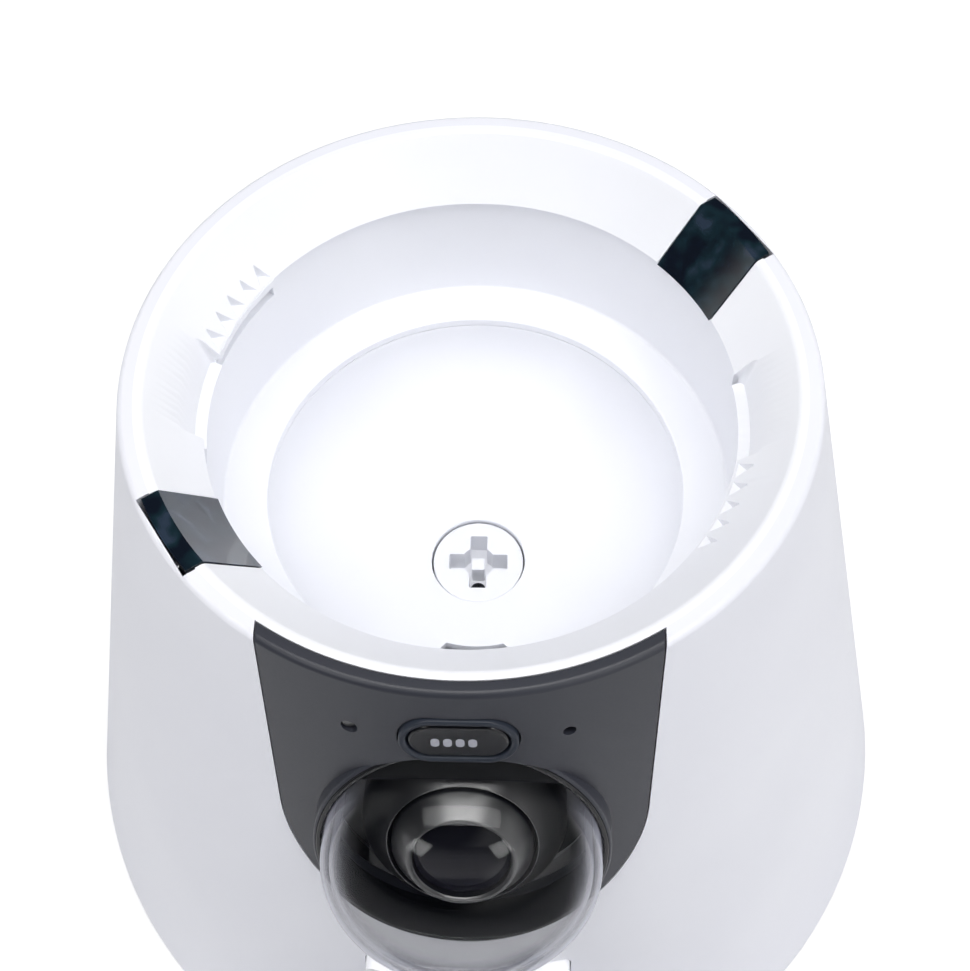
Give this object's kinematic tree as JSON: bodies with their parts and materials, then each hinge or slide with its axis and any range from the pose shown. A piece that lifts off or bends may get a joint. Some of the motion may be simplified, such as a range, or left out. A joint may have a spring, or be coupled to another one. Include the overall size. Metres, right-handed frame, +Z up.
{
  "type": "pet feeder with camera",
  "caption": "Base unit of a pet feeder: conical housing with a hopper seat, metering bowl and drive hub, dark front panel with a feed button and a domed camera, and a bowl tray in front.",
  "frame": {"origin": "on the standing surface, below the middle of the footprint from the tray's front to the housing's back", "axes": "+Z up; the front with the camera and the bowl faces -Y; +X is to the right of someone who looks at the front"},
  "size_m": [0.236, 0.365, 0.1852],
  "materials": {
    "shell": "white satin moulding",
    "seat": "white satin moulding",
    "panel": "charcoal, fine satin",
    "ring": "slate, satin",
    "black": "black satin",
    "gloss_black": "black, polished",
    "dome": "clear, polished",
    "lens": "coated glass",
    "smoke": "smoked, polished",
    "dark_steel": "dark steel",
    "steel": "plain steel",
    "bowl_steel": "stainless, finely brushed",
    "gear": "natural gear plastic",
    "board": "coated board",
    "rubber": "matte rubber",
    "inner": "matte moulding"
  },
  "bodies": {
    "housing": {"outer_housing": "shell", "base_plate": "shell", "hopper_seat": "seat", "metering_bowl": "seat", "chute": "seat", "front_panel": "panel", "button_ring": "ring", "feed_switch": "black", "reset_switch": "black", "camera_shroud": "black", "lens_barrel": "black", "power_inlet": "black", "camera_bezel": "gloss_black", "camera_dome": "dome", "lens_glass": "lens", "ir_window_left": "smoke", "ir_window_right": "smoke", "second_gear_pin": "dark_steel", "first_gear_pin": "dark_steel", "microphone": "steel", "motor": "steel", "gearbox_screw_1": "steel", "gearbox_screw_2": "steel", "gearbox_screw_3": "steel", "gearbox_screw_4": "steel", "base_screw_1": "steel", "base_screw_2": "steel", "base_screw_3": "steel", "base_screw_4": "steel", "ir_board_left": "board", "ir_board_right": "board", "control_board": "board", "camera_board": "board", "main_board": "board", "shaft_seal": "rubber", "rubber_foot_1": "rubber", "rubber_foot_2": "rubber", "rubber_foot_3": "rubber", "rubber_foot_4": "rubber", "gearbox_case": "inner", "gearbox_cover": "inner", "speaker": "inner"},
    "feed_button": {"feed_button": "gloss_black"},
    "reset_button": {"reset_button": "black"},
    "drive": {"output_gear": "gear", "drive_hub": "seat", "hub_screw": "dark_steel"},
    "second_gear": {"second_gear": "gear"},
    "first_gear": {"first_gear": "gear"},
    "motor_shaft": {"motor_pinion": "dark_steel"},
    "tray": {"bowl_tray": "shell"},
    "steel_bowl": {"steel_bowl": "bowl_steel"}
  },
  "joints": [
    {"name": "feed_button_press", "type": "slide", "parent": "housing", "child": "feed_button", "axis": [0, 0.9726, -0.2325], "range_m": [0, 0.001], "stiffness_N_per_m": 400},
    {"name": "reset_button_press", "type": "slide", "parent": "housing", "child": "reset_button", "axis": [0, 0.9726, -0.2325], "range_m": [0, 0.0005], "stiffness_N_per_m": 300},
    {"name": "drive_turn", "type": "hinge", "parent": "housing", "child": "drive", "pos_m": [0, 0.06449, 0.075], "axis": [0, 0, 1], "continuous": true},
    {"name": "second_gear_turn", "type": "hinge", "parent": "housing", "child": "second_gear", "pos_m": [0.00885, 0.08186, 0.075], "axis": [0, 0, 1], "continuous": true},
    {"name": "first_gear_turn", "type": "hinge", "parent": "housing", "child": "first_gear", "pos_m": [-0.00111, 0.09686, 0.075], "axis": [0, 0, 1], "continuous": true},
    {"name": "motor_turn", "type": "hinge", "parent": "housing", "child": "motor_shaft", "pos_m": [0.01087, 0.10927, 0.075], "axis": [0, 0, 1], "continuous": true},
    {"name": "tray_pull", "type": "slide", "parent": "housing", "child": "tray", "axis": [0, -1, 0], "range_m": [0, 0.025]},
    {"name": "steel_bowl_lift", "type": "slide", "parent": "tray", "child": "steel_bowl", "axis": [0, 0, 1], "range_m": [0, 0.035]}
  ],
  "couplings": [
    {"joint": "second_gear_turn", "follows": "drive_turn", "ratio": -3.3333},
    {"joint": "first_gear_turn", "follows": "drive_turn", "ratio": 10},
    {"joint": "motor_turn", "follows": "drive_turn", "ratio": -36}
  ]
}
